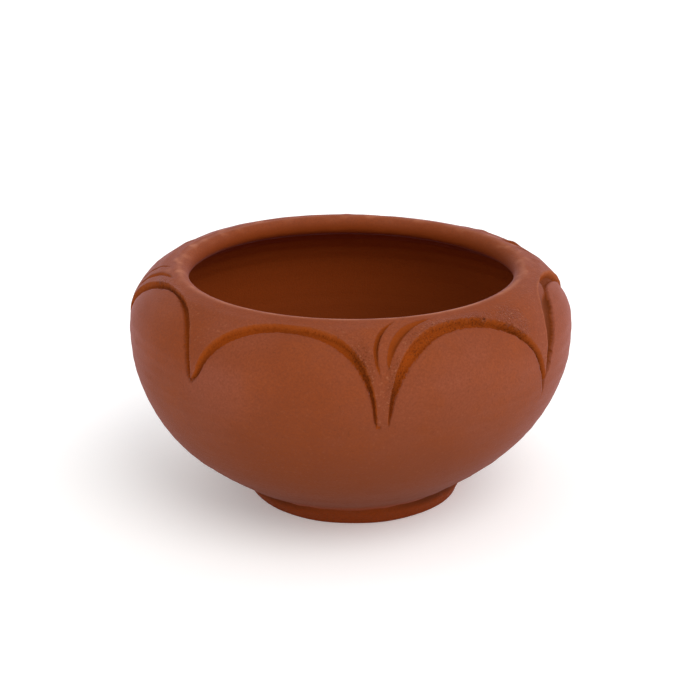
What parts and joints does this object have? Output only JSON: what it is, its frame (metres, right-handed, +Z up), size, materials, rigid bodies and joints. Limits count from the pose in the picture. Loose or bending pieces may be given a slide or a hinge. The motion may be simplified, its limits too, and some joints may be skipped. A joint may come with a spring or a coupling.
{
  "type": "oil lamp",
  "caption": "Round terracotta lamp bowl with an inward-curving shoulder carved in arches, a small foot, and a loose cotton wick standing inside.",
  "frame": {"origin": "on the bowl's axis at the plane of its foot, where it stands on the table", "axes": "+Z up along the bowl's axis; -Y is the side with the point between the two front arches, a little to its left when seen from -Y"},
  "size_m": [0.1, 0.1, 0.0534],
  "materials": {
    "terracotta": "matte, unglazed, fine sand grain",
    "cotton": "rolled cotton fibre"
  },
  "bodies": {
    "bowl": {"bowl": "terracotta"},
    "wick": {"wick": "cotton"}
  },
  "joints": [
    {"name": "wick_lift", "type": "slide", "parent": "bowl", "child": "wick", "axis": [0, 0, 1], "range_m": [0, 0.055]}
  ]
}
